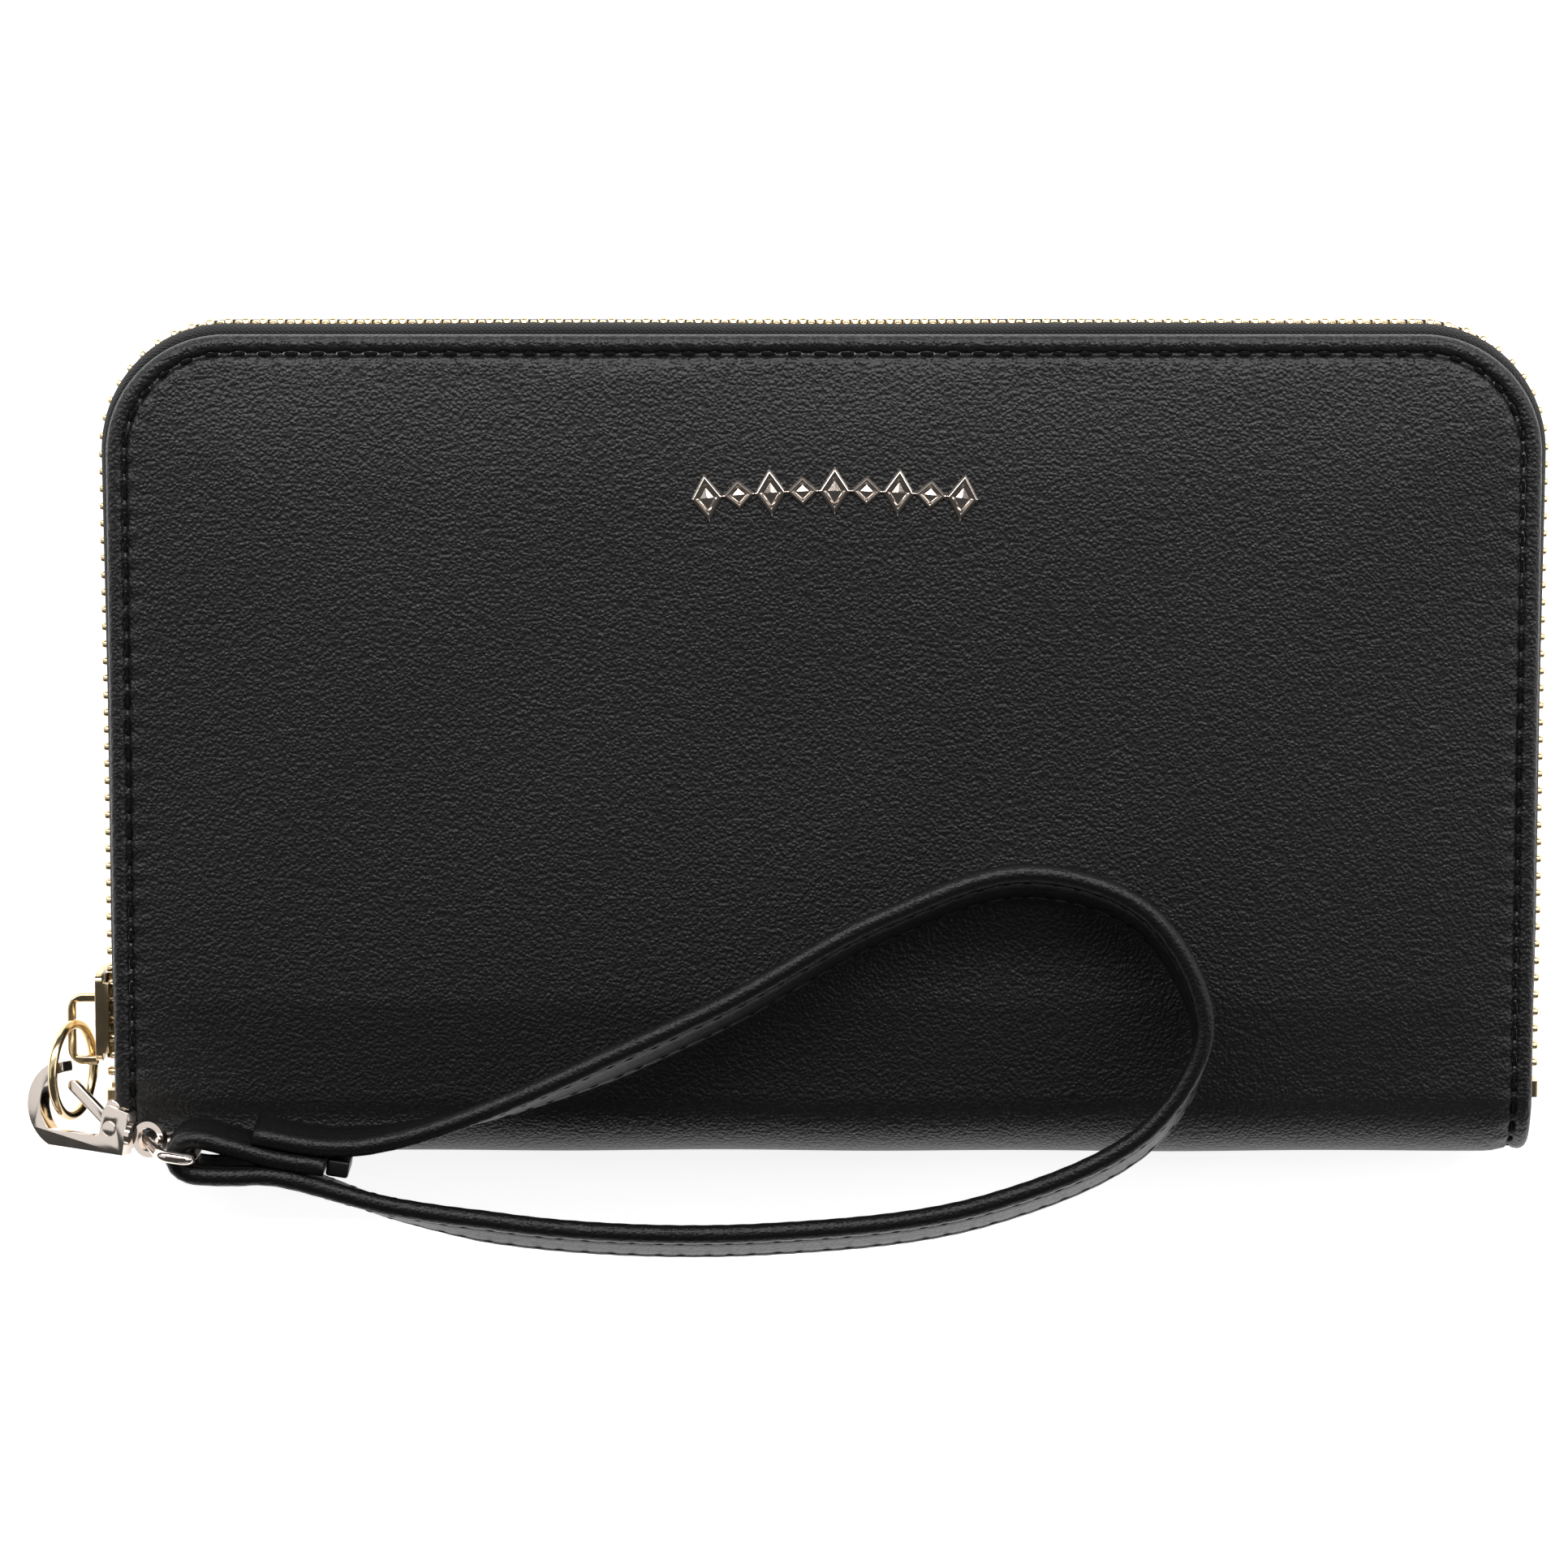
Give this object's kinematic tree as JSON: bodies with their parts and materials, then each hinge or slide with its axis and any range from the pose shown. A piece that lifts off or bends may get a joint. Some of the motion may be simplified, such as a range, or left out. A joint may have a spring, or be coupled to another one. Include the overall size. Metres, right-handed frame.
{
  "type": "zip around wallet",
  "caption": "Long padded wallet closed by a zip round three sides, with card pockets, a coin pocket and a wrist strap on a swivel clasp.",
  "frame": {"origin": "centre of the back cover's flat outer face, where the wallet lies on a table", "axes": "+X along the wallet's length to the right, +Y from the folded spine to the zip side, +Z out of the front cover"},
  "size_m": [0.204, 0.1232, 0.0355],
  "materials": {
    "black_leather": "fine pebble grain, satin",
    "strap_edge": "painted edge, matt",
    "thread": "waxed black thread",
    "foam": "soft padding",
    "board": "grey board",
    "lining": "black woven lining",
    "zip_tape": "black herringbone tape",
    "gold_metal": "light gold plating, polished",
    "champagne_metal": "pale gold plating, polished"
  },
  "bodies": {
    "back_cover": {"back_leather": "black_leather", "back_seam": "thread", "back_padding": "foam", "back_board": "board", "back_lining": "lining", "zip_tape_back": "zip_tape", "zip_teeth_back": "gold_metal", "zip_teeth_back_left": "gold_metal", "zip_top_stop_back": "gold_metal", "zip_bottom_stop": "gold_metal", "card_pocket_back_1": "black_leather", "card_pocket_back_2": "black_leather", "card_pocket_back_3": "black_leather", "card_pocket_back_4": "black_leather", "bill_divider_back": "lining", "gusset_left": "lining", "gusset_right": "lining", "spine_lining": "lining"},
    "front_cover": {"front_leather": "black_leather", "front_seam": "thread", "front_padding": "foam", "front_board": "board", "front_lining": "lining", "zip_tape_front": "zip_tape", "zip_teeth_front": "gold_metal", "zip_teeth_front_left": "gold_metal", "zip_top_stop_front": "gold_metal", "ornament": "champagne_metal", "ornament_rivets": "gold_metal", "card_pocket_front_1": "black_leather", "card_pocket_front_2": "black_leather", "card_pocket_front_3": "black_leather", "card_pocket_front_4": "black_leather", "bill_divider_front": "lining"},
    "centre_pocket": {"coin_pocket_back": "lining", "coin_pocket_front": "lining", "coin_pocket_binding": "black_leather", "coin_zip_teeth_back": "gold_metal", "coin_zip_teeth_front": "gold_metal", "coin_zip_tape_back": "zip_tape", "coin_zip_tape_front": "zip_tape"},
    "coin_slider": {"coin_slider": "gold_metal"},
    "coin_pull": {"coin_pull": "gold_metal"},
    "slider": {"slider_body": "gold_metal", "slider_bail": "gold_metal"},
    "link": {"link_ring": "gold_metal"},
    "clasp": {"clasp_hook": "champagne_metal", "clasp_rivet": "champagne_metal"},
    "gate": {"clasp_gate": "champagne_metal"},
    "swivel": {"swivel_eye": "champagne_metal"},
    "dring": {"d_ring": "champagne_metal"},
    "strap": {"strap_band": "black_leather", "strap_spacer": "strap_edge"}
  },
  "joints": [
    {"name": "cover_hinge", "type": "hinge", "parent": "back_cover", "child": "front_cover", "pos_m": [0, -0.0568, 0.01], "axis": [1, 0, 0], "range_deg": [0, 60], "deforming": ["gusset_left", "gusset_right", "spine_lining"]},
    {"name": "pocket_hinge", "type": "hinge", "parent": "back_cover", "child": "centre_pocket", "pos_m": [0, -0.0568, 0.01], "axis": [1, 0, 0], "range_deg": [0, 30]},
    {"name": "slider_travel", "type": "slide", "parent": "front_cover", "child": "slider", "axis": [0, 1, 0], "range_m": [0, 0.068], "deforming": ["zip_teeth_front_left", "zip_teeth_back_left"]},
    {"name": "link_swing", "type": "hinge", "parent": "slider", "child": "link", "pos_m": [-0.0998, -0.0413, 0.0101], "axis": [0, 0, 1], "range_deg": [-20, 0]},
    {"name": "clasp_swing", "type": "hinge", "parent": "link", "child": "clasp", "pos_m": [-0.1029, -0.04955, 0.0186], "axis": [0, 0, 1], "range_deg": [-15, 0]},
    {"name": "gate_hinge", "type": "hinge", "parent": "clasp", "child": "gate", "pos_m": [-0.0951, -0.0514, 0.0225], "axis": [-0.433, 0.0686, 0.8988], "range_deg": [0, 14], "stiffness_Nm_per_rad": 0.004, "springref_deg": -20.05},
    {"name": "swivel_spin", "type": "hinge", "parent": "clasp", "child": "swivel", "pos_m": [-0.09515, -0.0517, 0.0225], "axis": [0.8877, -0.1406, 0.4384], "range_deg": [0, 90]},
    {"name": "dring_lift", "type": "hinge", "parent": "swivel", "child": "dring", "pos_m": [-0.09, -0.05251, 0.02504], "axis": [-0.1564, -0.9877, 0], "range_deg": [0, 45]},
    {"name": "strap_swing", "type": "hinge", "parent": "dring", "child": "strap", "pos_m": [-0.08368, -0.05351, 0.0278], "axis": [0, 0, 1], "range_deg": [-12, 12]},
    {"name": "coin_slider_travel", "type": "slide", "parent": "centre_pocket", "child": "coin_slider", "axis": [1, 0, 0], "range_m": [0, 0.144]},
    {"name": "coin_pull_swing", "type": "hinge", "parent": "coin_slider", "child": "coin_pull", "pos_m": [-0.073, 0.04125, 0.01], "axis": [0, 0, 1], "range_deg": [-45, 45]}
  ],
  "couplings": [
    {"joint": "pocket_hinge", "follows": "cover_hinge", "ratio": 0.5}
  ]
}
